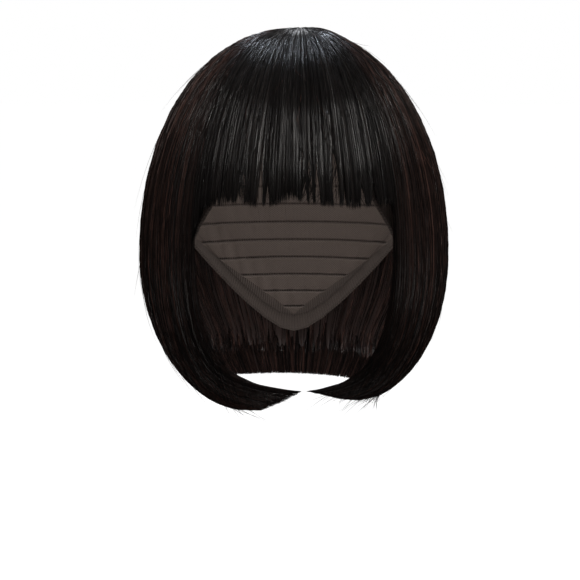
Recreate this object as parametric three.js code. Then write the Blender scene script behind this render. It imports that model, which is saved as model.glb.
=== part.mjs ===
// A chin-length bob wig with a blunt fringe: a thin stretch cap, the hair that falls over it from
// a swirl at the crown, and the shorter hair under it that hangs from the cap's ears and nape.
// Millimetres. +Z is up, the face looks along -Y, and left and right are the wearer's (+X is left).
// The origin is the point inside the cap that sits on the crown of the head.
import * as THREE from "three";

// The head that the cap is made for
const headBreadth = 154;
const headLength = 190;
const headRise = 100; // from the crown down to the head's widest level
const neckBreadth = 108;
const neckDepth = 116;

// The cap
const capWall = 1.5;
const bandWall = 2.6; // the elastic band round the rim, turned inwards
const bandHeight = 12;

// How far the hair stands off the cap
const crownCover = 11;
const sideCover = 14;
const fringeCover = 8.5;
const backCover = 16.5;

// How far the hair falls
const ringDrop = 22.5; // from the head's widest level down to the hair's
const fallLength = 81.5; // from there down to the tips at the sides
const domeFullness = 2.12; // 2 is an ellipse, and more is squarer
const tipThickness = 4;
const fringeTipThickness = 3;

// The swirl at the crown, where the hair parts and spreads
const swirlRadius = 12;
const swirlX = 4;
const swirlY = 8;
const partingDepth = 2.2;
const partingWidth = 5;
const partingReach = 40;

// The locks
const lockRelief = 1.5; // how deep the hollow between two locks is
const lockNotch = 4; // how far that hollow cuts up into the tips
const edgeShare = 0.35; // thickness left at the edge that frames the face
const edgeWidth = 14; // degrees over which it grows back
const gap = 0.6; // between two pieces that lie side by side or on each other

// How the hair falls, round one half of the head from the front to the back. Around is the angle
// at the widest ring, in degrees. Ends are the angle that the tips reach, and drops are shares of
// the fall, for the wearer's left and right.
const falls = [
  { around: 40, endLeft: 9, endRight: -3, dropLeft: 0.92, dropRight: 0.92 },
  { around: 46, endLeft: 19, endRight: 6, dropLeft: 0.95, dropRight: 0.98 },
  { around: 53, endLeft: 30, endRight: 21, dropLeft: 0.97, dropRight: 1.06 },
  { around: 62, endLeft: 44, endRight: 37, dropLeft: 0.98, dropRight: 1.07 },
  { around: 75, endLeft: 63, endRight: 57, dropLeft: 0.99, dropRight: 1.01 },
  { around: 90, endLeft: 82, endRight: 81, dropLeft: 1.0, dropRight: 0.94 },
  { around: 118, endLeft: 115, endRight: 115, dropLeft: 1.0, dropRight: 0.95 },
  { around: 150, endLeft: 149, endRight: 149, dropLeft: 0.99, dropRight: 0.97 },
  { around: 180, endLeft: 180, endRight: 180, dropLeft: 0.98, dropRight: 0.98 },
];

// How far the fringe comes down, as a share of the dome's height, and the angle its tips reach
const fringeCut = [
  { around: -40, drop: 0.93, end: -39 },
  { around: -36, drop: 0.82, end: -35 },
  { around: -20, drop: 0.795, end: -19.5 },
  { around: 0, drop: 0.775, end: 0 },
  { around: 20, drop: 0.79, end: 19.5 },
  { around: 40, drop: 0.825, end: 39 },
];

// Where the cap ends: the angle from the crown to the rim at the forehead, the tab before the ear,
// the arch over the ear and the nape
const capRim = [
  { around: 0, angle: 58 },
  { around: 78, angle: 112 },
  { around: 103, angle: 93 },
  { around: 180, angle: 138 },
];

// The pieces of the hair, by the angles that they cover, and the number of locks in each
const pieces = [
  { name: "fringe", from: -40, to: 40, locks: 9 },
  { name: "front_lock_left", from: 40, to: 62, locks: 4 },
  { name: "front_lock_right", from: -62, to: -40, locks: 4 },
  { name: "side_hair_left", from: 62, to: 118, locks: 6 },
  { name: "side_hair_right", from: -118, to: -62, locks: 6 },
  { name: "back_hair_left", from: 118, to: 180, locks: 6 },
  { name: "back_hair_right", from: -180, to: -118, locks: 6 },
];
const underPieces = [
  { name: "under_hair_left", from: 70, to: 118, locks: 4 },
  { name: "under_hair_right", from: -118, to: -70, locks: 4 },
  { name: "under_hair_nape", from: 118, to: 242, locks: 8 },
];

// Each lock is three columns wide: its hollow, its crest and the slope to the next hollow.
const lockCrest = [0, 1, 0.6];
const lockTrim = [0, 3, 1, 4, 0.5, 2.5]; // uneven cut ends, one value for each lock in turn

const domeRows = 9;
const fallRows = 8;
const fringeRows = 11;
const underRows = 8;
const sweep = 6; // how late the tips turn towards the chin
const curlEnd = 0.885; // how far the curl runs, as a share of a full curl
const curlTurn = 80; // degrees of the sine that spaces the rows closer in the curl
const tipReach = Math.cbrt(1 - curlEnd ** 2); // the tips' distance from the middle, as a share
const tipLength = 280; // length of hair that the cut of the tips is measured on
const underStart = 0.14; // shares of the fall
const underEnd = 0.72;
const underFill = 0.6; // share of the room behind the outer hair
const neckBlend = 6;

// Sizes that follow from those above
const capOuter = { x: headBreadth / 2 + capWall, y: headLength / 2 + capWall, z: headRise + capWall };
const hair = {
  x: capOuter.x + sideCover,
  front: capOuter.y + fringeCover,
  back: capOuter.y + backCover,
  top: capWall + crownCover,
};
const widestZ = -headRise - ringDrop;
const domeHeight = hair.top - widestZ;

const radians = THREE.MathUtils.degToRad;
const lerp = THREE.MathUtils.lerp;
const smooth = THREE.MathUtils.smoothstep;

// Reads one column of a table at an angle, with a straight or an eased run between the rows.
function read(table, column, around, eased = false) {
  const last = table.length - 1;
  let i = 0;
  while (i < last - 1 && around > table[i + 1].around) i++;
  const span = table[i + 1].around - table[i].around;
  const share = THREE.MathUtils.clamp((around - table[i].around) / span, 0, 1);
  return lerp(table[i][column], table[i + 1][column], eased ? smooth(share, 0, 1) : share);
}

// An angle round the head, brought to -180 to 180, with its size and the wearer's side.
function turned(around) {
  const angle = around > 180 ? around - 360 : around;
  return { angle, size: Math.abs(angle), side: angle < 0 ? "Right" : "Left" };
}

// A point of the dome: plan is its place as shares of the widest ring, from the swirl outwards.
function domePlan(around, share) {
  const angle = radians(around);
  return new THREE.Vector2(
    lerp(swirlX / hair.x, Math.sin(angle), share),
    lerp(swirlY / hair.back, -Math.cos(angle), share),
  );
}

function onDome(plan, halves, top, rise, fullness) {
  const level = Math.max(0, 1 - plan.length() ** fullness) ** (1 / fullness);
  const depth = plan.y < 0 ? halves.front : halves.back;
  return new THREE.Vector3(plan.x * halves.x, plan.y * depth, top - rise * (1 - level));
}

function hairDome(plan) {
  return onDome(plan, hair, hair.top, domeHeight, domeFullness);
}

// The hair's inner face on the cap, a gap clear of it
function capDome(plan) {
  const reach = capOuter.y + gap;
  const halves = { x: capOuter.x + gap, front: reach, back: reach };
  return onDome(plan, halves, capWall + gap, capOuter.z + gap, 2);
}

// How far the parting sinks the hair at a point of the plan, in millimetres
function partingDip(plan) {
  const across = (plan.x * hair.x - swirlX) / partingWidth;
  const along = (plan.y * hair.back - swirlY) / partingReach;
  const fade = along < 0 ? smooth(1 + 4 * along, 0, 1) : smooth(1 - along, 0, 1);
  return partingDepth * Math.exp(-across * across) * fade;
}

// The share of the way from the swirl to the widest ring at which a strand leaves the swirl
function swirlShare(around) {
  const ring = hairDome(domePlan(around, 1));
  return (swirlRadius + gap) / Math.hypot(ring.x - swirlX, ring.y - swirlY);
}

// The share of its thickness that the hair keeps towards the edge that frames the face
function edgeThickness(size) {
  return lerp(edgeShare, 1, smooth((size - falls[0].around) / edgeWidth, 0, 1));
}

// A point on the outer face of the falling hair, or on its inner face
function fallPoint(around, share, inner) {
  const { angle, size, side } = turned(around);
  const end = read(falls, "end" + side, size) * (side === "Right" ? -1 : 1);
  const drop = read(falls, "drop" + side, size) * fallLength;
  const turn = lerp(angle, Math.abs(angle) === 180 ? angle : end, share ** sweep);
  const curl = Math.sin(radians(curlTurn * share)) / Math.sin(radians(curlTurn));
  const reach = Math.cbrt(1 - (curlEnd * curl) ** 2);
  const ring = domePlan(turn, 1);
  const depth = ring.y < 0 ? hair.front : hair.back;
  const outer = new THREE.Vector3(ring.x * hair.x * reach, ring.y * depth * reach, widestZ - drop * curl);
  if (!inner) return outer;
  const thin = edgeThickness(size);
  const inX = lerp((hair.x - capOuter.x - gap) * thin, tipThickness, share);
  const inY = lerp((depth - capOuter.y - gap) * thin, tipThickness, share);
  const lift = ringDrop * thin * (1 - share) ** 2;
  return new THREE.Vector3(outer.x - ring.x * inX, outer.y - ring.y * inY, outer.z + lift);
}

// Moves the outer face in where a hollow between two locks runs.
function carve(outer, inner, depth) {
  const share = Math.min(0.6, depth / outer.distanceTo(inner));
  return outer.lerp(inner, share);
}

// A column's share of a lock's crest, and how much shorter it is cut
function lockColumn(x, locks) {
  const column = Math.round((x + 0.5) * locks * lockCrest.length);
  const crest = lockCrest[column % lockCrest.length];
  const lock = Math.floor(column / lockCrest.length);
  return { crest, cut: lerp(lockNotch, lockTrim[lock % lockTrim.length], crest) };
}

// The angle of a column, kept half a gap clear of the next piece
function columnAngle(piece, x, radius) {
  const inset = THREE.MathUtils.radToDeg(gap / 2 / radius);
  return lerp(piece.from + inset, piece.to - inset, x + 0.5);
}

// Bends a block of unit size: x runs round the head, y up to the swirl and z out of the hair.
function bend(block, place) {
  const position = block.attributes.position;
  for (let i = 0; i < position.count; i++) {
    const point = place(position.getX(i), position.getY(i), position.getZ(i));
    position.setXYZ(i, point.x, point.y, point.z);
  }
  block.computeVertexNormals();
  return block;
}

function blockOf(piece, rows) {
  return new THREE.BoxGeometry(1, 1, 1, piece.locks * lockCrest.length, rows, 1);
}

// A point on the way from the swirl to the widest ring, on the outer or the inner face
function domePoint(piece, x, turn, outside, depth) {
  const middle = lerp(piece.from, piece.to, x + 0.5);
  const start = Math.asin(swirlShare(middle));
  const share = Math.sin(lerp(start, Math.PI / 2, turn));
  const around = columnAngle(piece, x, share * hair.x);
  const plan = domePlan(around, share);
  const outer = hairDome(plan);
  const thin = lerp(1, edgeThickness(Math.abs(around)), smooth(turn, 0.35, 1));
  const inner = outer.clone().lerp(capDome(plan), thin);
  return outside ? carve(outer, inner, depth + partingDip(plan)) : inner;
}

function fallingHair(piece) {
  const rows = domeRows + fallRows;
  return bend(blockOf(piece, rows), (x, y, z) => {
    const outside = z > 0;
    const row = (0.5 - y) * rows;
    const { crest, cut } = lockColumn(x, piece.locks);
    const depth = lockRelief * (1 - crest);
    if (row < domeRows) return domePoint(piece, x, row / domeRows, outside, depth * smooth(row, 0, domeRows));
    const share = ((row - domeRows) / fallRows) * (1 - cut / tipLength);
    const around = columnAngle(piece, x, hair.x * lerp(1, tipReach, share));
    const inner = fallPoint(around, share, true);
    return outside ? carve(fallPoint(around, share, false), inner, depth) : inner;
  });
}

function fringeHair(piece) {
  return bend(blockOf(piece, fringeRows), (x, y, z) => {
    const { crest, cut } = lockColumn(x, piece.locks);
    const middle = lerp(piece.from, piece.to, x + 0.5);
    const start = Math.asin(swirlShare(middle));
    const down = read(fringeCut, "drop", middle) - cut / domeHeight;
    const turn = 0.5 - y;
    const low = (1 - (1 - down) ** domeFullness) ** (1 / domeFullness);
    const angle = lerp(start, Math.asin(low), turn);
    const share = Math.sin(angle);
    const end = read(fringeCut, "end", middle) - middle;
    const plan = domePlan(columnAngle(piece, x, share * hair.x) + end * turn ** sweep, share);
    const outer = hairDome(plan);
    const inner = capDome(plan);
    const thin = 1 - (1 - fringeTipThickness / (fringeCover + capWall)) * smooth(turn, 0.45, 1);
    const back = outer.clone().lerp(inner, thin);
    if (z < 0) return back;
    return carve(outer, back, lockRelief * (1 - crest) * smooth(turn, 0, 0.5) + partingDip(plan));
  });
}

// The surface that the under hair lies on: the cap down to its rim, and the neck below it
function neckSide(around, z) {
  const angle = radians(around);
  const level = Math.sqrt(Math.max(0, 1 - ((z + headRise) / headRise) ** 2));
  const larger = (a, b) => (a + b + Math.hypot(a - b, neckBlend)) / 2;
  const x = larger((capOuter.x + gap) * level, neckBreadth / 2);
  const y = larger((capOuter.y + gap) * level, neckDepth / 2);
  return new THREE.Vector3(Math.sin(angle) * x, -Math.cos(angle) * y, z);
}

function underHair(piece) {
  return bend(blockOf(piece, underRows), (x, y, z) => {
    const { crest, cut } = lockColumn(x, piece.locks);
    const end = underEnd - cut / tipLength;
    const share = lerp(underStart, end, 0.5 - y);
    const around = columnAngle(piece, x, neckBreadth / 2);
    const ceiling = fallPoint(around, share, true);
    const turn = THREE.MathUtils.radToDeg(Math.atan2(ceiling.x / hair.x, -ceiling.y / hair.back));
    const floor = neckSide(turn, ceiling.z);
    if (z < 0) return floor;
    const outer = floor.clone().lerp(ceiling, underFill * lerp(1, 0.35, smooth(0.5 - y, 0.5, 1)));
    return carve(outer, floor, lockRelief * (1 - crest) * smooth(0.5 - y, 0, 0.5));
  });
}

// The small round of root hair that closes the crown
function swirl() {
  const profile = [[0, 1], [0.25, 1], [0.5, 1], [0.75, 1], [1, 1], [1, 0], [0.5, 0], [0, 0]];
  const disc = new THREE.LatheGeometry(profile.map(([x, y]) => new THREE.Vector2(x, y)), 24);
  return bend(disc, (x, height, z) => {
    const plan = new THREE.Vector2(
      (swirlX + x * swirlRadius) / hair.x,
      (swirlY + z * swirlRadius) / hair.back,
    );
    const outer = hairDome(plan);
    const inner = capDome(plan);
    return height > 0.5 ? carve(outer, inner, partingDip(plan)) : inner;
  });
}

// The cap: a wall of two ellipsoids, lathed as shares of the way to the rim and then bent
function cap() {
  const bandAt = 0.9;
  const outside = [0, 0.15, 0.3, 0.45, 0.6, 0.75, bandAt, 1].map((share) => [share, 2]);
  const band = [[1, 1], [bandAt + 0.02, 1]];
  const inside = [bandAt, 0.75, 0.6, 0.45, 0.3, 0.15, 0].map((share) => [share, 0]);
  const profile = [...outside, ...band, ...inside].map(([x, y]) => new THREE.Vector2(x, y));
  const stand = [0, capWall - bandWall, capWall]; // off the head, for the inside, the band and the outside
  return bend(new THREE.LatheGeometry(profile, 40), (x, layer, z) => {
    const share = Math.hypot(x, z);
    const around = THREE.MathUtils.radToDeg(Math.atan2(x, -z));
    const rim = read(capRim, "angle", Math.abs(around), true);
    const bandTurn = THREE.MathUtils.radToDeg(bandHeight / headRise);
    const angle = share < bandAt
      ? (share / bandAt) * (rim - bandTurn)
      : rim - bandTurn * (1 - (share - bandAt) / (1 - bandAt));
    const off = stand[Math.round(layer)];
    const out = Math.sin(radians(angle));
    const turn = radians(around);
    return new THREE.Vector3(
      Math.sin(turn) * out * (headBreadth / 2 + off),
      -Math.cos(turn) * out * (headLength / 2 + off),
      (headRise + off) * Math.cos(radians(angle)) - headRise,
    );
  });
}

const hairFinish = { color: 0x1a1413, roughness: 0.38, metalness: 0 };
const capFinish = { color: 0x151313, roughness: 0.9, metalness: 0 };

const wig = new THREE.Group();
function add(name, geometry, finish) {
  const mesh = new THREE.Mesh(geometry, new THREE.MeshStandardMaterial(finish));
  mesh.name = name;
  wig.add(mesh);
}

add("cap", cap(), capFinish);
add("crown_swirl", swirl(), hairFinish);
for (const piece of pieces) {
  add(piece.name, piece.name === "fringe" ? fringeHair(piece) : fallingHair(piece), hairFinish);
}
for (const piece of underPieces) add(piece.name, underHair(piece), hairFinish);

export default wig;
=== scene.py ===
"""A black bob wig: the finish of each piece of hair and of its cap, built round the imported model.

Hair is made as strands: thin closed tubes that follow the wig's form from the swirl at the crown
to the cut ends. Under them lies the solid body of each piece of hair. Sizes here are millimetres,
as in the model's own source, and become metres when a mesh is made.
"""
import math

import bpy
import numpy as np
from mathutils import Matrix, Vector


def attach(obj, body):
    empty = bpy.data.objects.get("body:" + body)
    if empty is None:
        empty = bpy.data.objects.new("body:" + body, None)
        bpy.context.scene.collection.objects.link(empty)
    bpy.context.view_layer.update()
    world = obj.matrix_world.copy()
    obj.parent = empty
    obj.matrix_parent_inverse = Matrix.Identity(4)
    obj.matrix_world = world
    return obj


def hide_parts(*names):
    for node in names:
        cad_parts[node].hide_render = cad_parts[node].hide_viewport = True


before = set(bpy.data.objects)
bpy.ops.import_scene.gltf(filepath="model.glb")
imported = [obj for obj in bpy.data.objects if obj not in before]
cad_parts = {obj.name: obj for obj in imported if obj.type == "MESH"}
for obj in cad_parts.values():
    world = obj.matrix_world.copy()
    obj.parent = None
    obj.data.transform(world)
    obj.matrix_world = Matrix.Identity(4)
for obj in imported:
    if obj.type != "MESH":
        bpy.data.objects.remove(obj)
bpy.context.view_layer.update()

bl_info = {
    "name": "Bob Wig",
    "version": (1, 0, 0),
    "blender": (4, 5, 0),
    "location": "3D View > Sidebar > Wig",
    "description": "Builds the strands, the cap and the studio of a bob wig",
    "category": "Add Mesh",
}

MM = 0.001


# The form of the wig, as in the model's source

HEAD_BREADTH = 154
HEAD_LENGTH = 190
HEAD_RISE = 100
CAP_WALL = 1.5
CROWN_COVER = 11
SIDE_COVER = 14
FRINGE_COVER = 8.5
BACK_COVER = 16.5
RING_DROP = 22.5
FALL_LENGTH = 81.5
DOME_FULLNESS = 2.12
TIP_THICKNESS = 4
SWIRL_X = 4
SWIRL_Y = 8
PARTING_DEPTH = 2.2
PARTING_WIDTH = 5
PARTING_REACH = 40
SWELL_HEIGHT = 1.7
SWELL_WIDTH = 13
SWELL_LENGTH = 26
EDGE_SHARE = 0.35
EDGE_WIDTH = 14
FACE_EDGE = 40
SWEEP = 6
CURL_END = 0.885
CURL_TURN = math.radians(80)
GAP = 0.6
NECK_BREADTH = 108
NECK_DEPTH = 116
NECK_BLEND = 6

CAP_X = HEAD_BREADTH / 2 + CAP_WALL
CAP_Y = HEAD_LENGTH / 2 + CAP_WALL
HAIR_X = CAP_X + SIDE_COVER
HAIR_FRONT = CAP_Y + FRINGE_COVER
HAIR_BACK = CAP_Y + BACK_COVER
HAIR_TOP = CAP_WALL + CROWN_COVER
WIDEST_Z = -HEAD_RISE - RING_DROP
DOME_HEIGHT = HAIR_TOP - WIDEST_Z
HEART = np.array([0.0, 10.0, WIDEST_Z])  # a point inside the wig that the hair faces away from

# Round one half of the head: the angle at the widest ring, and on the wearer's left and right the
# angle of the tips and how far they fall, as a share of FALL_LENGTH
FALLS = {
    "around": (40, 46, 53, 62, 75, 90, 118, 150, 180),
    "end_left": (9, 19, 30, 44, 63, 82, 115, 149, 180),
    "end_right": (-3, 6, 21, 37, 57, 81, 115, 149, 180),
    "drop_left": (0.92, 0.95, 0.985, 1.01, 1.005, 1.0, 1.0, 0.99, 0.98),
    "drop_right": (0.92, 0.98, 1.06, 1.07, 1.01, 0.94, 0.95, 0.97, 0.98),
}
# How far the fringe comes down as a share of the dome's height, and the angle its tips reach
FRINGE = {
    "around": (-40, -36, -20, 0, 20, 40),
    "drop": (0.93, 0.82, 0.795, 0.775, 0.79, 0.825),
    "end": (-39, -35, -19.5, 0, 19.5, 39),
}
# Where the fringe parts above its tips: the angle, how far up the parting runs, its width, how far it
# leans over on the way down, and how far it closes again at the tips, from 0 to 1
PARTINGS = {
    "around": (-20, -13, -10, 3.6, 6.0, 8.6, 15.6, 26, 31),
    "height": (24, 17, 13, 30, 28, 23, 32, 16, 18),
    "width": (5.2, 3.4, 2.8, 4.4, 4.2, 3.6, 6.0, 3.8, 4.8),
    "lean": (-1.8, 0.5, 0.2, 1.8, 1.2, 0.6, 0.5, 0.0, 0.5),
    "close": (0.85, 0.9, 0.8, 0.6, 0.7, 0.5, 0.95, 0.5, 0.5),
}
# How much shorter than its form the fringe is cut, in millimetres, by angle
FRINGE_CUT = {
    "around": (-40, -36, -31, -24, -18, -12, -8, -2, 4, 10, 20, 26, 32, 38, 40),
    "cut": (1, 3.5, 5.5, 6.2, 4.2, 2.8, 2.8, 4.8, 4.2, 3.4, 3, 4, 6, 7, 5),
}
# The cap's rim: the angle round the head from its front, and the angle from the crown to the rim
CAP_RIM = {"around": (0, 78, 103, 180), "down": (58, 112, 93, 138)}
BAND_TURN = 6.9  # degrees from the band's upper edge to the rim

FRINGE_LENGTH = 165  # of a fringe strand from the swirl to its tip
FALL_STRAND = 280  # of a strand that falls past the widest ring
DOME_PART = 0.62  # share of a falling strand that lies above that ring
THIN_FROM = 0.35  # share of its way over the dome from which the hair beside the face gets thin
FRINGE_THIN_FROM = 0.45  # the same for the fringe, and how thin it is at its tips
FRINGE_THINNEST = 0.3
UNDER_START = 0.14  # where the under hair begins and ends, as shares of the outer hair's fall
UNDER_END = 0.72
UNDER_FILL = 0.6  # share of the room it fills, and what is left of that at the tips
UNDER_THINNEST = 0.35


def smooth(x):
    x = np.clip(x, 0, 1)
    return x * x * (3 - 2 * x)


def mix(a, b, share):
    return a + (b - a) * share


def dome_plan(around, share):
    """Where a strand runs, seen from above, as shares of the widest ring."""
    angle = np.radians(around)
    x = mix(SWIRL_X / HAIR_X, np.sin(angle), share)
    y = mix(SWIRL_Y / HAIR_BACK, -np.cos(angle), share)
    return x, y


def dome_level(x, y, fullness):
    """The height of a dome, from 1 at its top to 0 at its rim."""
    return np.maximum(0, 1 - np.hypot(x, y) ** fullness) ** (1 / fullness)


def parting_dip(x, y):
    """How deep the shallow parting at the crown is."""
    across = (x * HAIR_X - SWIRL_X) / PARTING_WIDTH
    along = (y * HAIR_BACK - SWIRL_Y) / PARTING_REACH
    fade = np.where(along < 0, smooth(1 + 4 * along), smooth(1 - along))
    return PARTING_DEPTH * np.exp(-across * across) * fade


def edge_thickness(around):
    """The share of its thickness that the hair has at an angle. It is thin beside the face."""
    return mix(EDGE_SHARE, 1, smooth((np.abs(around) - FACE_EDGE) / EDGE_WIDTH))


def crown_swell(x, y):
    """The hair on the wearer's left of the swirl stands a little higher."""
    across = (x * HAIR_X - SWIRL_X - SWELL_WIDTH) / SWELL_WIDTH
    along = (y * HAIR_BACK - SWIRL_Y) / SWELL_LENGTH
    return SWELL_HEIGHT * np.exp(-across * across - along * along)


def dome_faces(around, share, thin=1.0):
    """The hair's outer and inner face between the swirl and the widest ring."""
    x, y = dome_plan(around, share)
    level = dome_level(x, y, DOME_FULLNESS)
    depth = np.where(y < 0, HAIR_FRONT, HAIR_BACK)
    top = HAIR_TOP - parting_dip(x, y) + crown_swell(x, y)
    outer = np.stack([x * HAIR_X, y * depth, top - DOME_HEIGHT * (1 - level)], -1)
    cap_level = dome_level(x, y, 2)
    cap_z = CAP_WALL + GAP - (HEAD_RISE + CAP_WALL + GAP) * (1 - cap_level)
    inner = np.stack([x * (CAP_X + GAP), y * (CAP_Y + GAP), cap_z], -1)
    thin = np.broadcast_to(thin, x.shape)[..., None]
    return outer, mix(outer, inner, thin)


def fall_faces(around, share):
    """The hair's outer and inner face below the widest ring."""
    around = (around + 180) % 360 - 180
    size = np.abs(around)
    left = around > 0

    def column(name):
        sides = [np.interp(size, FALLS["around"], FALLS[name + side]) for side in ("_left", "_right")]
        return np.where(left, *sides)

    end = column("end") * np.where(left, 1, -1)
    drop = column("drop") * FALL_LENGTH
    turn = np.radians(mix(around, end, share**SWEEP))
    curl = np.sin(CURL_TURN * share) / math.sin(CURL_TURN)
    reach = np.cbrt(1 - (CURL_END * curl) ** 2)
    x, y = np.sin(turn), -np.cos(turn)
    depth = np.where(y < 0, HAIR_FRONT, HAIR_BACK)
    outer = np.stack([x * HAIR_X * reach, y * depth * reach, WIDEST_Z - drop * curl], -1)
    thin = edge_thickness(size)
    in_x = mix((HAIR_X - CAP_X - GAP) * thin, TIP_THICKNESS, share)
    in_y = mix((depth - CAP_Y - GAP) * thin, TIP_THICKNESS, share)
    lift = RING_DROP * thin * (1 - share) ** 2
    inner = np.stack([outer[..., 0] - x * in_x, outer[..., 1] - y * in_y, outer[..., 2] + lift], -1)
    return outer, inner


def falling_faces(around, down):
    """Outer and inner face along a falling strand. down is 0 at the swirl and 1 at the tip."""
    turn = np.clip(down / DOME_PART, 0, 1)
    thin = mix(1, edge_thickness(around), smooth((turn - THIN_FROM) / (1 - THIN_FROM)))
    outer, inner = dome_faces(around, np.sin(turn * math.pi / 2), thin)
    low_outer, low_inner = fall_faces(around, np.clip((down - DOME_PART) / (1 - DOME_PART), 0, 1.04))
    low = (down > DOME_PART)[..., None]
    return np.where(low, low_outer, outer), np.where(low, low_inner, inner)


def fringe_faces(around, down):
    """Outer and inner face along a strand of the fringe."""
    drop = np.interp(around, FRINGE["around"], FRINGE["drop"])
    end = np.interp(around, FRINGE["around"], FRINGE["end"]) - around
    low = (1 - (1 - drop) ** DOME_FULLNESS) ** (1 / DOME_FULLNESS)
    share = np.sin(down * np.arcsin(low))
    outer, inner = dome_faces(around + end * np.clip(down, 0, 1) ** SWEEP, share)
    thin = mix(1, FRINGE_THINNEST, smooth((down - FRINGE_THIN_FROM) / (1 - FRINGE_THIN_FROM)))[..., None]
    return outer, mix(outer, inner, thin)


def neck_side(turn, z):
    """The surface that the under hair lies on: the cap, and the neck below it."""
    level = np.sqrt(np.maximum(0, 1 - ((z + HEAD_RISE) / HEAD_RISE) ** 2))

    def larger(a, b):
        return (a + b + np.hypot(a - b, NECK_BLEND)) / 2

    x = larger((CAP_X + GAP) * level, NECK_BREADTH / 2)
    y = larger((CAP_Y + GAP) * level, NECK_DEPTH / 2)
    return np.stack([np.sin(turn) * x, -np.cos(turn) * y, z], -1)


def under_faces(around, down):
    """Outer and inner face of the shorter hair that hangs from the cap's ears and nape."""
    share = mix(UNDER_START, UNDER_END, down)
    _, ceiling = fall_faces(around, share)
    turn = np.arctan2(ceiling[..., 0] / HAIR_X, -ceiling[..., 1] / HAIR_BACK)
    floor = neck_side(turn, ceiling[..., 2])
    fill = UNDER_FILL * mix(1, UNDER_THINNEST, smooth((down - 0.5) / 0.5))
    return mix(floor, ceiling, fill[..., None]), floor


# Strands

COLUMNS = 256  # of the strands' map, each with a tone and gloss of its own
STRIPS = 3.1  # that a column is wide: one for each side of a tube, and a margin
MARGIN = 0.05  # of a strip, before the first one


def wander(rng, count, down, size, waves=3):
    """A slow drift along each strand, up to about size."""
    drift = np.zeros((count, down.shape[-1]))
    for wave in range(1, waves + 1):
        phase = rng.uniform(0, 2 * math.pi, (count, 1))
        height = rng.normal(0, 1, (count, 1)) / wave
        drift += height * np.sin(phase + down * wave * math.pi)
    return drift * size * 0.6


def tubes(paths, widths):
    """Closed three-sided tubes along paths (strands, rings, 3): points, side faces and end faces."""
    count, rings, _ = paths.shape
    along = np.gradient(paths, axis=1)
    along /= np.linalg.norm(along, axis=-1, keepdims=True) + 1e-12
    side = np.cross(along, paths - HEART)
    side /= np.linalg.norm(side, axis=-1, keepdims=True) + 1e-12
    up = np.cross(side, along)
    corners = []
    for turn in (math.pi / 2, math.pi * 7 / 6, math.pi * 11 / 6):
        corners.append(paths + (side * math.cos(turn) + up * math.sin(turn)) * widths[..., None] / 2)
    points = np.stack(corners, 2).reshape(-1, 3)
    start = (np.arange(count) * rings * 3)[:, None, None]
    ring = (np.arange(rings - 1) * 3)[None, :, None]
    sides = np.arange(3)[None, None, :]
    a = start + ring + sides
    b = start + ring + (sides + 1) % 3
    quads = np.stack([a, b, b + 3, a + 3], -1).reshape(-1, 4)
    first = start[:, 0, 0]
    last = first + (rings - 1) * 3
    ends = [np.stack([first, first + 2, first + 1], 1), np.stack([last, last + 1, last + 2], 1)]
    return points, quads, np.concatenate(ends)


def tube_map(columns, down):
    """The map's corners for tubes: in each strand's column, as far down as its rings lie."""
    count, rings = down.shape
    down = np.clip(down, 0, 1)
    left = (columns[:, None, None] + (np.arange(3)[None, None, :] + MARGIN) / STRIPS) / COLUMNS
    shape = (count, rings - 1, 3)
    left = np.broadcast_to(left, shape)
    right = left + 1 / STRIPS / COLUMNS
    top = np.broadcast_to(down[:, :-1, None], shape)
    low = np.broadcast_to(down[:, 1:, None], shape)
    sides = np.stack([left, top, right, top, right, low, left, low], -1).reshape(-1, 2)
    first, wide = columns / COLUMNS, 1 / COLUMNS
    ends = [sides]
    for end, turn in ((down[:, 0], 0.01), (down[:, -1], -0.01)):
        ends.append(np.stack([first, end, first + wide, end, first, end + turn], -1).reshape(-1, 2))
    return np.concatenate(ends)


def strand_mesh(name, bundles, material):
    """One mesh of several bundles of strands, with the paths, widths, map columns and places of each."""
    points, loops, totals, corners, used = [], [], [], [], 0
    for paths, widths, columns, down in bundles:
        spots, quads, caps = tubes(paths, widths)
        points.append(spots)
        loops += [quads.ravel() + used, caps.ravel() + used]
        totals += [np.full(len(quads), 4), np.full(len(caps), 3)]
        corners.append(tube_map(columns, down))
        used += len(spots)
    points, loops, totals, corners = (np.concatenate(part) for part in (points, loops, totals, corners))
    mesh = bpy.data.meshes.new(name)
    mesh.vertices.add(len(points))
    mesh.vertices.foreach_set("co", (points * MM).astype(np.float32).ravel())
    mesh.loops.add(len(loops))
    mesh.loops.foreach_set("vertex_index", loops.astype(np.int32))
    mesh.polygons.add(len(totals))
    starts = np.concatenate([[0], np.cumsum(totals)[:-1]])
    mesh.polygons.foreach_set("loop_start", starts.astype(np.int32))
    mesh.polygons.foreach_set("loop_total", totals.astype(np.int32))
    mesh.update(calc_edges=True)
    for layer in ("strand", "OFBake"):
        mesh.uv_layers.new(name=layer).data.foreach_set("uv", corners.astype(np.float32).ravel())
    mesh.polygons.foreach_set("use_smooth", np.ones(len(totals), bool))
    mesh.materials.append(material)
    return linked(name, mesh)


class Locks:
    """Locks of uneven width, side by side over a stretch of hair."""

    def __init__(self, rng, span, width):
        steps = rng.uniform(0.5, 1.5, max(2, round((span[1] - span[0]) / width)))
        self.edges = span[0] + np.cumsum(np.concatenate([[0], steps])) / steps.sum() * (span[1] - span[0])
        self.count = len(steps)
        self.lift = rng.random(self.count)
        self.cut = rng.random(self.count)
        self.column = rng.integers(0, COLUMNS, self.count)

    def find(self, around):
        """Each strand's lock, the lock's middle, and the strand's place in it from -1 to 1."""
        lock = np.clip(np.searchsorted(self.edges, around) - 1, 0, self.count - 1)
        middle = (self.edges[lock] + self.edges[lock + 1]) / 2
        half = (self.edges[lock + 1] - self.edges[lock]) / 2
        return lock, middle, (around - middle) / half


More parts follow.
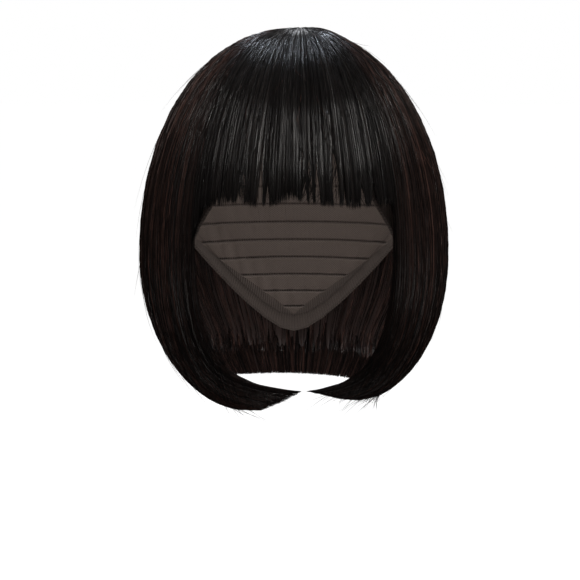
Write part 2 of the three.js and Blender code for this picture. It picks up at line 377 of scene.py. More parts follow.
# A layer of strands: how many rings each has, where they start along the hair as a range, and how deep
# they lie, in millimetres or as a share of the hair's thickness
SURFACE = {"rings": 19, "start": (0.02, 0.05), "depth": (0.0, 0.9)}
RISING = {"rings": 15, "start": (0.06, 0.5), "depth": (0.0, 0.7)}
TIPS = {"rings": 7, "start": (0.74, 0.86), "share": (0.0, 1.0)}
LINING = {"rings": 8, "start": (0.6, 0.7), "share": (0.9, 1.0)}

CROWDING = 1.35  # how much closer together a strand's rings lie towards its tip
OWN_CUT = 1.2  # how uneven the ends are within a small lock, within a large one and between those
SMALL_CUT = 0.35
LARGE_CUT = 0.3
OVERRUN = 1.0  # how far the longest strands run past the end of the form
GATHER_FROM = 0.25  # share of the way down from which strands gather to the middle of their lock
SWAY = 0.8  # degrees that the large locks sway, and how often along their length
SWAY_RATE = 1.5
WANDER_ANGLE = 0.25  # how far a strand drifts: round, in depth, and as a share of the thickness
WANDER_DEPTH = 0.26
WANDER_SHARE = 0.05
STRAY_ANGLE = 2.2  # degrees that a stray strand leaves its place by
STRAY_RISE = 0.3  # and how far it stands off
UNMOVED = 0.035  # share of the strands that a parting doesn't push aside
ROOTED = 0.055  # strands that start lower than this come up from inside the hair
ROOT_DEPTH = 1.6
ROOT_RISE = 0.14
TAPER = 5.0  # length over which a strand gets thin, and its share of width at its tip and start
TIP_WIDTH = 0.14
START_WIDTH = 0.3
SHARED = 0.7  # share of the strands with the map column of their small lock
SHADE_WIDTH = 5  # degrees beside the face over which painted shade darkens the hair


def grow(faces, span, seed, layers, length, fine=0.55, broad=4.5, gather=0.3, relief=0.5, trim=2.0,
         width=0.3, opened=None, stray=0.06, drift=0.5, shade=0.0, shorter=None):
    """The bundles of strands of one piece of hair between two angles, one for each layer.

    fine and broad are the widths of its small and large locks, in degrees, gather is how closely strands
    follow the small ones, and drift how much the large ones sway. relief is the hollows' depth, trim how
    uneven the ends are. shade is painted shade beside the face, opened parts it, shorter cuts it by angle.
    """
    rng = np.random.default_rng(seed)
    small, large = Locks(rng, span, fine), Locks(rng, span, broad)
    sway = rng.normal(0, 1, (large.count, 2))
    bundles = []
    for layer, count in layers:
        rings = layer["rings"]
        around = rng.uniform(*layer.get("span", span), count)
        lock, middle, _ = small.find(around)
        group, _, seat = large.find(around)
        start = rng.uniform(*layer["start"], count)
        cut = rng.random(count) ** 1.3 * OWN_CUT + small.cut[lock] ** 1.5 * SMALL_CUT
        cut = (cut + large.cut[group] * LARGE_CUT) * trim - OVERRUN
        if shorter:
            cut = cut + np.interp(around, *shorter.values())
        cut = cut / length

        # Where the rings lie: down the hair, staggered, and round the head
        step = (np.arange(rings)[None, :] - 1 + rng.random((count, 1))) / (rings - 2)
        step[:, 0], step[:, -1] = 0, 1
        step = 1 - (1 - step) ** CROWDING
        down = mix(start[:, None], 1 - cut[:, None], step)
        pull = gather * smooth((down - GATHER_FROM) / (1 - GATHER_FROM))
        at = around[:, None] + (middle - around)[:, None] * pull
        turn = sway[group]
        swing = np.sin(down * math.pi * SWAY_RATE + turn[:, 1:] * SWAY_RATE)
        at = at + turn[:, :1] * swing * down * drift * SWAY
        at = at + wander(rng, count, down, WANDER_ANGLE) * smooth(down * 2)
        loose = rng.random(count) < stray
        at = at + (loose * rng.normal(0, STRAY_ANGLE, count))[:, None] * (down - 0.3)
        if opened is not None:
            give = rng.uniform(0.7, 1.1, count) * (rng.random(count) > UNMOVED)
            at = opened(at, down, give[:, None])

        # How deep they lie
        outer, inner = faces(at, down)
        if "depth" in layer:
            sunk = rng.uniform(*layer["depth"], count)[:, None] - loose[:, None] * STRAY_RISE
            hollow = relief * (seat**2)[:, None] * smooth(down * 7)
            sunk = sunk + small.lift[lock][:, None] * relief * 0.5 + hollow
            sunk = sunk + wander(rng, count, down, WANDER_DEPTH, waves=7) * smooth(down * 3)
            rise = 1 - smooth((down - start[:, None]) / ROOT_RISE)
            thick = np.linalg.norm(outer - inner, axis=-1) + 1e-6
            sunk = (sunk + (start > ROOTED)[:, None] * rise * ROOT_DEPTH) / thick
        else:
            sunk = rng.uniform(*layer["share"], count)[:, None] + wander(rng, count, down, WANDER_SHARE)
        paths = mix(outer, inner, np.clip(sunk, 0, 1)[..., None])

        left = (down[:, -1:] - down) * length
        taper = np.minimum(1, left / (TAPER * rng.uniform(0.5, 1.8, (count, 1))) + TIP_WIDTH)
        taper = taper * np.minimum(1, step * 8 + START_WIDTH)
        widths = rng.uniform(0.65, 1.35, count)[:, None] * width * taper
        columns = np.where(rng.random(count) < SHARED, small.column[lock], rng.integers(0, COLUMNS, count))
        # Painted shade: beside the face the strands take darker columns of the map, so the hair there is
        # darker
        beside = np.exp(-(((np.abs(around) - FACE_EDGE) / SHADE_WIDTH) ** 2))
        columns = np.floor(columns * (1 - shade * beside))
        bundles.append((paths, widths, columns, down))
    return bundles


PARTING_BLUNT = 0.7  # how quickly a parting opens, less than 1 for a blunt one
PARTING_SIDE = 2.0  # degrees beside a parting over which it pushes strands


def part_fringe(at, down, give):
    """Pushes the fringe's strands away from each parting, each as far as it gives."""
    for around, height, width, lean, close in zip(*PARTINGS.values()):
        share = height / FRINGE_LENGTH
        along = np.clip((down - 1 + share) / share, 0, 1)
        opening = np.sin(along * (1 + close) * math.pi / 2) ** PARTING_BLUNT
        half = np.degrees(width / 2 / HAIR_FRONT) * opening
        off = at - around - lean * (along - 0.5)
        at = at + np.sign(off) * half * np.exp(-((off / PARTING_SIDE) ** 2)) * give
    return at


# Finishes


class Value:
    """A number that varies over a surface. Sums on it add the Math nodes that work them out."""

    def __init__(self, socket):
        self.socket = socket

    def math(self, operation, *others):
        tree = self.socket.id_data
        node = tree.nodes.new("ShaderNodeMath")
        node.operation = operation
        for slot, value in zip(node.inputs, (self, *others)):
            if isinstance(value, Value):
                tree.links.new(value.socket, slot)
            else:
                slot.default_value = value
        return Value(node.outputs[0])

    def __add__(self, other):
        return self.math("ADD", other)

    __radd__ = __add__

    def __sub__(self, other):
        return self.math("SUBTRACT", other)

    def __rsub__(self, other):
        return self.math("MULTIPLY", -1.0) + other

    def __mul__(self, other):
        return self.math("MULTIPLY", other)

    def __truediv__(self, other):
        return self.math("DIVIDE", other)

    def __pow__(self, other):
        return self.math("POWER", other)

    def floor(self):
        return self.math("FLOOR")

    def sine(self):
        return self.math("SINE")

    def cosine(self):
        return self.math("COSINE")

    def angle_to(self, other):
        return self.math("ARCTAN2", other)

    def clipped(self, low=0.0):
        return self.math("MAXIMUM", low).math("MINIMUM", 1.0)

    def steeper(self, past, gain, low=0.0):
        """Nothing up to past, then gain times as steep, between low and 1."""
        return ((self - past) * gain).clipped(low)


class Nodes:
    """A tree of shader nodes, emptied to be built again."""

    def __init__(self, owner):
        owner.use_nodes = True
        self.tree = owner.node_tree
        self.tree.nodes.clear()

    def add(self, kind, settings=None, **sockets):
        """Adds a node and fills its sockets, named by their identifiers, with values or links."""
        node = self.tree.nodes.new(kind)
        for name, value in (settings or {}).items():
            setattr(node, name, value)
        inputs = {socket.identifier.replace(" ", "_"): socket for socket in node.inputs}
        for name, value in sockets.items():
            if isinstance(value, Value):
                value = value.socket
            if isinstance(value, bpy.types.NodeSocket):
                self.tree.links.new(value, inputs[name])
            else:
                inputs[name].default_value = value
        return node

    def mixed(self, share, first, second):
        kind = {"data_type": "RGBA"}
        node = self.add("ShaderNodeMix", kind, Factor_Float=share, A_Color=first, B_Color=second)
        return next(socket for socket in node.outputs if socket.identifier == "Result_Color")

    def place(self):
        """The place on the object as three values."""
        split = self.add("ShaderNodeSeparateXYZ", Vector=self.add("ShaderNodeTexCoord").outputs["Object"])
        return [Value(socket) for socket in split.outputs]

    def round_swirl(self):
        """The angle round the swirl at the crown."""
        x, y, _ = self.place()
        return (x - SWIRL_X * MM).angle_to(y - SWIRL_Y * MM)

    def noise(self, detail, x, y, z=0.0, scale=1.0):
        at = self.add("ShaderNodeCombineXYZ", X=x, Y=y, Z=z)
        node = self.add("ShaderNodeTexNoise", Vector=at.outputs[0], Scale=scale, Detail=detail)
        return Value(node.outputs["Fac"])

    def surface(self, **sockets):
        shader = self.add("ShaderNodeBsdfPrincipled", **sockets)
        self.add("ShaderNodeOutputMaterial", Surface=shader.outputs[0])


# How often each pattern of the hair changes, for a radian round the swirl and down the hair
STREAK = (80.0, 5.0)
SINGLE = (30.0, 6.0)
THREAD = (170.0, 3.0)
BODY_FINE = (90.0, 12.0)
BODY_BROAD = (14.0, 9.0)
ROUGHER = 0.46  # how much rougher a strand is than the gloss on it


def hair_finish(name, dark, light, rough, gloss=0.4, fade=0.2):
    """Straight, smooth synthetic hair. The columns of the strands' map go from dark to light strands.

    gloss raises how many strands shine, and fade is how far painted shade darkens the cut ends.
    """
    material = bpy.data.materials.new(name)
    nodes = Nodes(material)
    strand_map = nodes.add("ShaderNodeUVMap", {"uv_map": "strand"})
    split = nodes.add("ShaderNodeSeparateXYZ", Vector=strand_map.outputs[0])
    across, down = Value(split.outputs["X"]), Value(split.outputs["Y"])
    around = nodes.round_swirl()
    column = (across * COLUMNS).floor()
    bright = column / COLUMNS

    def drawn(shift):
        node = nodes.add("ShaderNodeTexWhiteNoise", {"noise_dimensions": "1D"}, W=column + shift)
        return Value(node.outputs["Value"])

    def pattern(rates, detail, depth=0.0):
        return nodes.noise(detail, around * rates[0], down * rates[1], depth)

    # Colour: light strands in streaks, and painted shade that darkens the cut ends
    streak = pattern(STREAK, detail=3.0).steeper(past=0.37, gain=4.4, low=0.1)
    tone = (bright**3.0 * 0.92 + 0.07) * streak
    colour = nodes.mixed(tone.clipped(), dark, light)
    # Painted shade: the colour goes to dark towards each strand's cut end, as far as fade
    colour = nodes.mixed((down**4.0 * (drawn(90.5) * 0.6 + 0.7) * fade).clipped(), colour, dark)

    # Gloss: fine lines down the hair, single glossy strands near the swirl, none at the roots
    single = pattern(SINGLE, detail=2.0, depth=7.0).steeper(past=0.5, gain=7.0)
    near = (1.5 - down * 6.0).clipped()
    thread = pattern(THREAD, detail=1.0, depth=3.0).steeper(past=0.4, gain=5.0, low=0.15)
    coat = drawn(70.5) ** 2.0 * 1.35 * (bright * 0.9 + gloss).clipped() * thread
    coat = (coat * (1.0 - near) + single * near) * (down * 14.0 - 0.42).clipped()
    roughness = drawn(40.5) * 0.2 + (rough + ROUGHER) - near * 0.2
    nodes.surface(Base_Color=colour, Roughness=roughness, IOR=1.5, Specular_IOR_Level=0.05,
                  Coat_Roughness=rough, Coat_IOR=1.8, Coat_Weight=coat)
    return material


def body_finish(name, dark, light):
    """The hair under the strands: fine streaks that run down from the swirl."""
    material = bpy.data.materials.new(name)
    nodes = Nodes(material)
    around, height = nodes.round_swirl(), nodes.place()[2]
    fine = nodes.noise(3.0, around * BODY_FINE[0], height * BODY_FINE[1])
    broad = nodes.noise(2.0, around * BODY_BROAD[0], height * BODY_BROAD[1], 4.0)
    colour = nodes.mixed((fine * 0.6 + broad * 0.4 - 0.35).clipped(), dark, light)
    bump = nodes.add("ShaderNodeBump", Strength=0.6, Distance=0.0006, Height=fine + broad * 0.6)
    nodes.surface(Base_Color=colour, Roughness=0.4 + broad * 0.2, Normal=bump.outputs[0], IOR=1.5)
    return material


# How often the cap's patterns change for a radian, and the net's fibres for a metre
NET_ROUND = 170.0
NET_DOWN = 260.0
STITCHES = 330.0
RIBS = 420.0
FIBRES = 900.0
WEFT_SHARPNESS = 10.0
WEFT_PLACE = 2.4  # radians by which the wefts are shifted


def net_finish(name, dark, light, thread, spacing):
    """Matt stretch net with rows of sewn wefts, and the ribbed elastic band round its rim."""
    material = bpy.data.materials.new(name)
    nodes = Nodes(material)
    x, y, z = nodes.place()
    around = x.angle_to(y)
    angle = (z * (1 / (HEAD_RISE * MM)) + 1.0).clipped(-1.0).math("ARCCOSINE")
    one = (around * NET_ROUND + angle * NET_DOWN).sine()
    other = (around * NET_ROUND - angle * NET_DOWN).sine()
    holes = (one * one * other * other).clipped()
    fibres = nodes.noise(3.0, x, y, z, scale=FIBRES)
    ribs = (around * RIBS).sine() * 0.5 + 0.5

    # The band attribute is 0 or less over the net, and the wefts end there
    band = Value(nodes.add("ShaderNodeAttribute", {"attribute_name": "band"}).outputs["Fac"])
    band = (band * 1.6 + 0.5).clipped()
    cloth = 1.0 - band
    wave = (around * STITCHES).sine() * 0.07
    row = (angle * (2 * math.pi / spacing) + wave + WEFT_PLACE).cosine().clipped() ** WEFT_SHARPNESS
    row = row * cloth
    stitch = ((around * STITCHES).cosine() * 0.5 + 0.5) ** 3.0

    colour = nodes.mixed((holes * 0.75 + fibres * 0.25).clipped(), light, dark)
    colour = nodes.mixed(((ribs * 0.5 + 0.3) * band).clipped(), colour, dark)
    colour = nodes.mixed((row * (0.36 - stitch * 0.18)).clipped(), colour, thread)
    height = (fibres * 0.3 - holes * 0.5) * cloth + row * (1.0 + stitch * 0.5) * 3.0 + ribs * band * 0.8
    bump = nodes.add("ShaderNodeBump", Strength=0.7, Distance=0.0005, Height=height)
    nodes.surface(Base_Color=colour, Roughness=0.72 + fibres * 0.2, Normal=bump.outputs[0], IOR=1.45)
    return material


# Sizes and colours a user would change

COLOUR = {"min": 0, "max": 1, "size": 4, "subtype": "COLOR"}
FINE_LENGTH = {"precision": 5, "unit": "LENGTH", "subtype": "DISTANCE"}


class WIG_PG_hair(bpy.types.PropertyGroup):
    """How fine, full and loose the hair is, and its colours"""

    strand_width: bpy.props.FloatProperty(
        name="Strand width", description="Thickness of a strand at the surface of the hair",
        default=0.32 * MM, min=0.1 * MM, max=1 * MM, **FINE_LENGTH,
    )
    fullness: bpy.props.FloatProperty(
        name="Fullness", description="How many of the strands are made",
        default=1.0, min=0.1, max=1.0, subtype="FACTOR",
    )
    lock_relief: bpy.props.FloatProperty(
        name="Lock relief", description="How far the hollows between the locks lie under their crests",
        default=0.5 * MM, min=0, max=2 * MM, **FINE_LENGTH,
    )
    uneven_ends: bpy.props.FloatProperty(
        name="Uneven ends", description="How much the lengths of the strands differ at the cut",
        default=2.0 * MM, min=0, max=10 * MM, **FINE_LENGTH,
    )
    flyaways: bpy.props.IntProperty(
        name="Flyaways", description="How many single hairs stand off the hair",
        default=260, min=0, max=600,
    )
    dark: bpy.props.FloatVectorProperty(
        name="Dark strands", description="Colour of the darkest strands",
        default=(0.0034, 0.0029, 0.0029, 1), **COLOUR,
    )
    light: bpy.props.FloatVectorProperty(
        name="Light strands", description="Colour of the lightest strands over the forehead",
        default=(0.03, 0.0252, 0.0232, 1), **COLOUR,
    )
    warm: bpy.props.FloatVectorProperty(
        name="Warm strands", description="Colour of the lightest strands at the sides and the back",
        default=(0.096, 0.05, 0.0405, 1), **COLOUR,
    )
    roughness: bpy.props.FloatProperty(
        name="Roughness", description="Roughness of the glossiest strands",
        default=0.2, min=0.05, max=1, subtype="FACTOR",
    )


class WIG_PG_cap(bpy.types.PropertyGroup):
    """The stretch cap that the hair is sewn on"""

    weft_spacing: bpy.props.FloatProperty(
        name="Weft spacing", description="Angle from one weft to the next",
        default=math.radians(6.5), min=math.radians(3), max=math.radians(20), subtype="ANGLE",
    )
    net: bpy.props.FloatVectorProperty(
        name="Net", description="Colour of the stretch net",
        default=(0.12, 0.092, 0.078, 1), **COLOUR,
    )
    shade: bpy.props.FloatVectorProperty(
        name="Net holes", description="Colour in the holes of the net",
        default=(0.04, 0.03, 0.026, 1), **COLOUR,
    )


class WIG_PG_studio(bpy.types.PropertyGroup):
    """The floor, the lights and the camera"""

    brightness: bpy.props.FloatProperty(
        name="Brightness", description="Share of the lights' power",
        default=1.0, min=0, max=10, subtype="FACTOR",
    )
    floor_drop: bpy.props.FloatProperty(
        name="Floor", description="How far the floor lies under the top of the cap",
        default=0.42, min=0.25, max=2, unit="LENGTH", subtype="DISTANCE",
    )
    lens: bpy.props.FloatProperty(
        name="Lens", description="Focal length in millimetres", default=155, min=35, max=300,
    )
    camera_height: bpy.props.FloatProperty(
        name="Camera height", description="Angle from which the camera looks down on the wig",
        default=math.radians(5), min=math.radians(-30), max=math.radians(60), subtype="ANGLE",
    )


# Pieces

MERGE_DISTANCE = 0.00001
BODY_SHARPEST = math.radians(50)  # edges that turn more stay sharp
CAP_SHARPEST = math.radians(40)
MOST_SUNK = 0.45  # of the hair's thickness, on each side


def only(piece):
    """Makes a piece the one selected, active object."""
    bpy.ops.object.select_all(action="DESELECT")
    piece.select_set(True)
    bpy.context.view_layer.objects.active = piece


def edited(piece, *steps):
    """Runs each step on the whole mesh of a piece."""
    only(piece)
    bpy.ops.object.mode_set(mode="EDIT")
    bpy.ops.mesh.select_all(action="SELECT")
    for step in steps:
        step()
    bpy.ops.object.mode_set(mode="OBJECT")


def merge():
    bpy.ops.mesh.remove_doubles(threshold=MERGE_DISTANCE)


def linked(name, data):
    """A new object in the scene, for a mesh, a light or a camera."""
    piece = bpy.data.objects.new(name, data)
    bpy.context.scene.collection.objects.link(piece)
    return piece


def copy_of(node, name):
    """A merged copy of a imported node, with a mesh of its own."""
    piece = linked(name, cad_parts[node].data.copy())
    piece.data.materials.clear()
    edited(piece, merge)
    return piece


def hair_body(node, faces, span, first=0.02, last=0.93, ragged=0.0, sink=1.5, columns=30, rows=40):
    """The solid hair under the strands of one piece: a closed shell, drawn in by sink, short of the tips.

    ragged is how unevenly it ends.
    """
    rng = np.random.default_rng(columns)
    at, down = np.meshgrid(np.linspace(*span, columns), np.linspace(0, 1, rows), indexing="ij")
    down = mix(first, last - ragged * rng.random((columns, 1)), down)
    outer, inner = faces(at, down)
    thick = np.linalg.norm(outer - inner, axis=-1, keepdims=True) + 1e-6
    share = np.minimum(MOST_SUNK, sink / thick)
    points = np.concatenate([mix(outer, inner, part).reshape(-1, 3) for part in (share, 1 - share)])
    spot = np.arange(columns * rows).reshape(columns, rows)
    back = spot + columns * rows

    def strip(first, second):
        return np.stack([first[:-1], first[1:], second[1:], second[:-1]], -1).reshape(-1, 4)

    quads = [strip(spot[column], spot[column + 1]) for column in range(columns - 1)]
    quads += [strip(back[column + 1], back[column]) for column in range(columns - 1)]
    quads += [strip(spot[edge], back[edge]) for edge in (0, -1)]
    quads += [strip(spot[:, edge], back[:, edge]) for edge in (0, -1)]
    mesh = bpy.data.meshes.new(node + "_body")
    mesh.from_pydata((points * MM).tolist(), [], np.concatenate(quads).tolist())
    return dressed(linked(node + "_body", mesh), node, "body" if node == "fringe" else "warm_body")


def copied_body(node, sink):
    """The solid hair under the strands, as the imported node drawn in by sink."""
    piece = copy_of(node, node + "_body")
    edited(piece, lambda: bpy.ops.transform.shrink_fatten(value=-sink * MM))
    return dressed(piece, node, "body")


def dressed(piece, node, material):
    """Closes a body's mesh, gives it its finish and smooths it."""
    edited(piece, merge, lambda: bpy.ops.mesh.normals_make_consistent(inside=False))
    piece.data.materials.append(finish(material))
    bpy.ops.object.shade_smooth_by_angle(angle=BODY_SHARPEST)
    return finished(piece, node)


def finished(piece, *nodes, slot="hair"):
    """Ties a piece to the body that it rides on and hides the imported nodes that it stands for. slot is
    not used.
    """
    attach(piece, "root")
    if nodes:
        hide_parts(*nodes)
    return piece


def strands(node, faces, span, seed, layers, material, length=FALL_STRAND, width=1.0, **growth):
    """The strands of one piece of hair. width is a share of the strands' usual width."""
    hair = bpy.context.scene.wig_hair
    layers = [(layer, round(count * hair.fullness)) for layer, count in layers]
    bundles = grow(
        faces, span, seed, layers, length, width=width * hair.strand_width / MM,
        **{"relief": hair.lock_relief / MM, "trim": hair.uneven_ends / MM, **growth},
    )
    return finished(strand_mesh(node + "_strands", bundles, finish(material)), node)


finishes = {}


def finish(name):
    """Each finish is made once, when a piece first asks for it."""
    hair, cap = bpy.context.scene.wig_hair, bpy.context.scene.wig_cap
    makers = {
        "hair": lambda: hair_finish("hair", hair.dark, hair.light, hair.roughness, gloss=0.5, fade=0.7),
        "warm_hair": lambda: hair_finish("warm_hair", hair.dark, hair.warm, hair.roughness + 0.06),
        "root_hair": lambda: hair_finish("root_hair", hair.dark, hair.light, 0.5, gloss=-0.4),
        "body": lambda: body_finish("hair_body", hair.dark, hair.light),
        "warm_body": lambda: body_finish("warm_hair_body", hair.dark, hair.warm),
        "net": lambda: net_finish("cap_net", cap.shade, cap.net, hair.dark, cap.weft_spacing),
    }
    if name not in finishes:
        finishes[name] = makers[name]()
    return finishes[name]


CAP_OUTSIDE = 0.995  # share of the cap's outer form from which a point is on its outer face


class WIG_OT_cap(bpy.types.Operator):
    """The stretch cap, with the wefts that the hair is sewn on and its elastic band"""

    bl_idname = "wig.cap"
    bl_label = "Cap"

    def execute(self, context):
        piece = copy_of("cap", "net_cap")
        piece.data.materials.append(finish("net"))
        points = np.empty(len(piece.data.vertices) * 3)
        piece.data.vertices.foreach_get("co", points)
        x, y, z = points.reshape(-1, 3).T / MM
        # The attribute is how many degrees a point lies below the band's upper edge
        around = np.abs(np.degrees(np.arctan2(x / CAP_X, -y / CAP_Y)))
        rim = np.interp(around, *CAP_RIM.values())
        reach = np.hypot(np.hypot(x / CAP_X, y / CAP_Y), (z + HEAD_RISE) / (HEAD_RISE + CAP_WALL))
        wall = np.where(reach > CAP_OUTSIDE, CAP_WALL, 0)
        angle = np.degrees(np.arccos(np.clip((z + HEAD_RISE) / (HEAD_RISE + wall), -1, 1)))
        band = piece.data.attributes.new("band", "FLOAT", "POINT")
        band.data.foreach_set("value", (angle - rim + BAND_TURN).astype(np.float32))
        finer = piece.modifiers.new("finer", "SUBSURF")
        finer.subdivision_type = "SIMPLE"
        finer.levels = finer.render_levels = 1
        bpy.ops.object.modifier_apply(modifier=finer.name)
        only(piece)
        bpy.ops.object.shade_smooth_by_angle(angle=CAP_SHARPEST)
        finished(piece, "cap", slot="cap")
        return {"FINISHED"}


SWIRL_START = 0.004  # where the swirl's strands start and how far they run, as shares of the ring
SWIRL_REACH = 0.3
SWIRL_STRAND = 26.0  # their length


class WIG_OT_crown(bpy.types.Operator):
    """The swirl at the crown that the hair spreads from"""

    bl_idname = "wig.crown"
    bl_label = "Crown"

    def execute(self, context):
        copied_body("crown_swirl", sink=0.7)

        def faces(around, down):
            return dome_faces(around, SWIRL_START + down * SWIRL_REACH)

        layers = [({"rings": 9, "start": (0.0, 0.02), "depth": (0.0, 0.6)}, 800)]
        strands("crown_swirl", faces, (-180, 180), 5, layers, "root_hair", length=SWIRL_STRAND,
                fine=5.0, broad=20.0, gather=0.1, trim=11.0, stray=0.1)
        return {"FINISHED"}


class WIG_OT_fringe(bpy.types.Operator):
    """The blunt fringe over the forehead"""

    bl_idname = "wig.fringe"
    bl_label = "Fringe"

    def execute(self, context):
        hair_body("fringe", fringe_faces, (-40, 40), last=0.81)
        surface, rising = {**SURFACE, "rings": 13}, {**RISING, "rings": 11}
        tips, lining = {**TIPS, "start": (0.64, 0.8)}, {**LINING, "start": (0.55, 0.7)}
        layers = [(surface, 1350), (rising, 250), (tips, 1500), (lining, 200)]
        strands("fringe", fringe_faces, (-40.6, 40.6), 11, layers, "hair", length=FRINGE_LENGTH,
                fine=0.36, broad=5.0, gather=0.3, relief=0.35, opened=part_fringe, shorter=FRINGE_CUT)
        return {"FINISHED"}


class WIG_OT_front_locks(bpy.types.Operator):
    """The hair that frames the face and curls in under the chin"""

    bl_idname = "wig.front_locks"
    bl_label = "Front locks"

    def execute(self, context):
        for node, edge, span, seed in (
            ("front_lock_left", (40, 41.2), (39.6, 62.6), 21),
            ("front_lock_right", (-41.2, -40), (-62.6, -39.6), 22),
        ):
            hair_body(node, falling_faces, (min(span) + 0.6, max(span) - 0.6), last=0.965)
            rim = {"rings": 17, "start": (0.3, 0.5), "share": (0.0, 1.0), "span": edge}
            layers = [({**SURFACE, "rings": 21}, 450), (RISING, 130), (TIPS, 700), (LINING, 240), (rim, 70)]
            # shade lays painted shade on the strands beside the face
            strands(node, falling_faces, span, seed, layers, "warm_hair", fine=0.5, broad=3.0, trim=1.1,
                    drift=0.1, gather=0.2, shade=0.65)
        return {"FINISHED"}


def long_hair(layers, *pieces):
    """The bodies and strands of pieces behind the face, each with its span and seed."""
    for node, span, seed in pieces:
        hair_body(node, falling_faces, (min(span) + 0.6, max(span) - 0.6), last=0.982)
        strands(node, falling_faces, span, seed, layers, "warm_hair", width=1.2, drift=0.2, gather=0.2)


class WIG_OT_side_hair(bpy.types.Operator):
    """The hair over the ears"""

    bl_idname = "wig.side_hair"
    bl_label = "Side hair"

    def execute(self, context):
        layers = [(SURFACE, 520), (RISING, 140), (TIPS, 560), (LINING, 160)]
        left, right = ("side_hair_left", (61.4, 118.6), 31), ("side_hair_right", (-118.6, -61.4), 32)
        long_hair(layers, left, right)
        return {"FINISHED"}


class WIG_OT_back_hair(bpy.types.Operator):
    """The hair over the back of the head"""

    bl_idname = "wig.back_hair"
    bl_label = "Back hair"

    def execute(self, context):
        layers = [(SURFACE, 540), (RISING, 140), (TIPS, 700), (LINING, 160)]
        left, right = ("back_hair_left", (117.4, 180.6), 41), ("back_hair_right", (179.4, 242.6), 42)
        long_hair(layers, left, right)
        return {"FINISHED"}


class WIG_OT_under_hair(bpy.types.Operator):
    """The shorter hair that hangs from the cap's ears and nape"""

    bl_idname = "wig.under_hair"
    bl_label = "Under hair"

    def execute(self, context):
        surface = {"rings": 8, "start": (0.0, 0.03), "depth": (0.0, 0.8)}
        lining = {"rings": 8, "start": (0.0, 0.03), "share": (0.5, 1.0)}
        for node, span, count, seed in (
            ("under_hair_left", (70, 118.5), 130, 51),
            ("under_hair_right", (-118.5, -70), 130, 52),
            ("under_hair_nape", (117.5, 242.5), 330, 53),
        ):
            hair_body(node, under_faces, (min(span) + 0.5, max(span) - 0.5), first=0.01, ragged=0.3,
                      columns=90, rows=14)
            strands(node, under_faces, span, seed, [(surface, count), (lining, count)], "warm_hair",
                    length=62.0, trim=6.0, fine=2.0, broad=6.0, width=1.2)
        return {"FINISHED"}


LOOSE_WIDTH = 0.4
FACE_SIDE = 44  # degrees to each side over which loose hairs stand off the fringe, and are shorter
WISPS = 100


def flyaways(rng, count):
    """Single hairs that leave the hair's surface and stand off it."""
    around = rng.uniform(-180, 180, count)
    over_face = np.abs(around) < FACE_SIDE
    start = rng.beta(1.6, 1.1, count) * 0.8 * np.where(over_face, 0.5, 1.0) + 0.06
    reach = rng.uniform(0.06, 0.2, count) * np.where(over_face, 0.6, 1.0)
    step = np.linspace(0, 1, 11)[None, :]
    down = np.minimum(start[:, None] + reach[:, None] * step, 1.03)
    at = around[:, None] + rng.normal(0, 6, count)[:, None] * step**1.5
    outer, _ = falling_faces(at, down)
    out = outer - HEART
    out /= np.linalg.norm(out, axis=-1, keepdims=True)
    rise = rng.uniform(0.3, 1.0, count)[:, None] ** 2 * 6.5 * step**1.6 - 0.6
    widths = np.full(down.shape, LOOSE_WIDTH) * (1.05 - step)
    return outer + out * rise[..., None], widths, rng.integers(0, COLUMNS, count), down


def wisps(rng, count):
    """Short hairs that run on past the cut ends, in thin arcs."""
    around = rng.uniform(42, 110, count) * rng.choice([-1, 1], count)
    step = np.linspace(0, 1, 12)[None, :]
    ends = 0.97 + 0.06 * np.clip(step * 2, 0, 1)
    _, inner = falling_faces(around[:, None] * np.ones_like(step), ends)
    start = inner[:, :1]
    way = inner[:, 6:7] - start
    way /= np.linalg.norm(way, axis=-1, keepdims=True)
    way[..., 2] -= 0.35
    length = rng.uniform(6, 20, count)[:, None, None]
    bow = rng.normal(0, (0.35, 0.35, 0.12), (count, 1, 3)) * step[..., None] ** 2
    paths = start + (way * step[..., None] + bow) * length
    widths = np.full((count, 12), LOOSE_WIDTH) * (1.05 - step)
    return paths, widths, rng.integers(0, COLUMNS, count), np.full((count, 12), 0.98)


class WIG_OT_flyaways(bpy.types.Operator):
    """Loose single hairs that stand off the wig and hang under its ends"""

    bl_idname = "wig.flyaways"
    bl_label = "Flyaways"

    def execute(self, context):
        rng = np.random.default_rng(71)
        loose = flyaways(rng, context.scene.wig_hair.flyaways)
        finished(strand_mesh("flyaway_hairs", [loose], finish("warm_hair")))
        finished(strand_mesh("end_wisps", [wisps(rng, WISPS)], finish("warm_hair")))
        return {"FINISHED"}


# Lights: the angle round the wig from its front, the height as an angle, the distance, the width
# and height, the power in watts and the colour
LIGHTS = {
    "key": (16, 46, 1.3, (0.65, 0.72), 12.2, (1.0, 0.965, 0.93)),
    "crown": (5, 116, 1.1, (0.1, 0.6), 5.0, (0.8, 0.88, 1.0)),
    "side_left": (100, 35, 1.5, (0.5, 0.9), 2.3, (1.0, 0.82, 0.76)),
    "side_right": (-100, 35, 1.5, (0.5, 0.9), 2.1, (1.0, 0.82, 0.76)),
    "rear_left": (132, 32, 1.5, (0.7, 0.4), 3.4, (1.0, 0.95, 0.93)),
    "rear_right": (-132, 32, 1.5, (0.7, 0.4), 3.4, (1.0, 0.95, 0.93)),
    "back": (180, 28, 1.5, (1.2, 0.35), 8.5, (0.92, 0.95, 1.0)),
    "low": (0, -20, 0.75, (0.8, 0.3), 1.4, (1.0, 0.95, 0.92)),
}
LIGHTS_AIM = Vector((0, 0, -0.09))
INSIDE_PLACE = Vector((0, -0.045, -0.165))
INSIDE_AIM = Vector((0, 0.08, -0.115))
CAMERA_AIM = Vector((-0.0024, 0, -0.144))
CAMERA_DISTANCE = 1.5
WHITE = (1, 1, 1, 1)
FLOOR_GREY = (0.3, 0.3, 0.3, 1)
FLOOR_GLOW = 0.99
WORLD_GLOW = 0.045  # of the white surroundings, to all but the camera


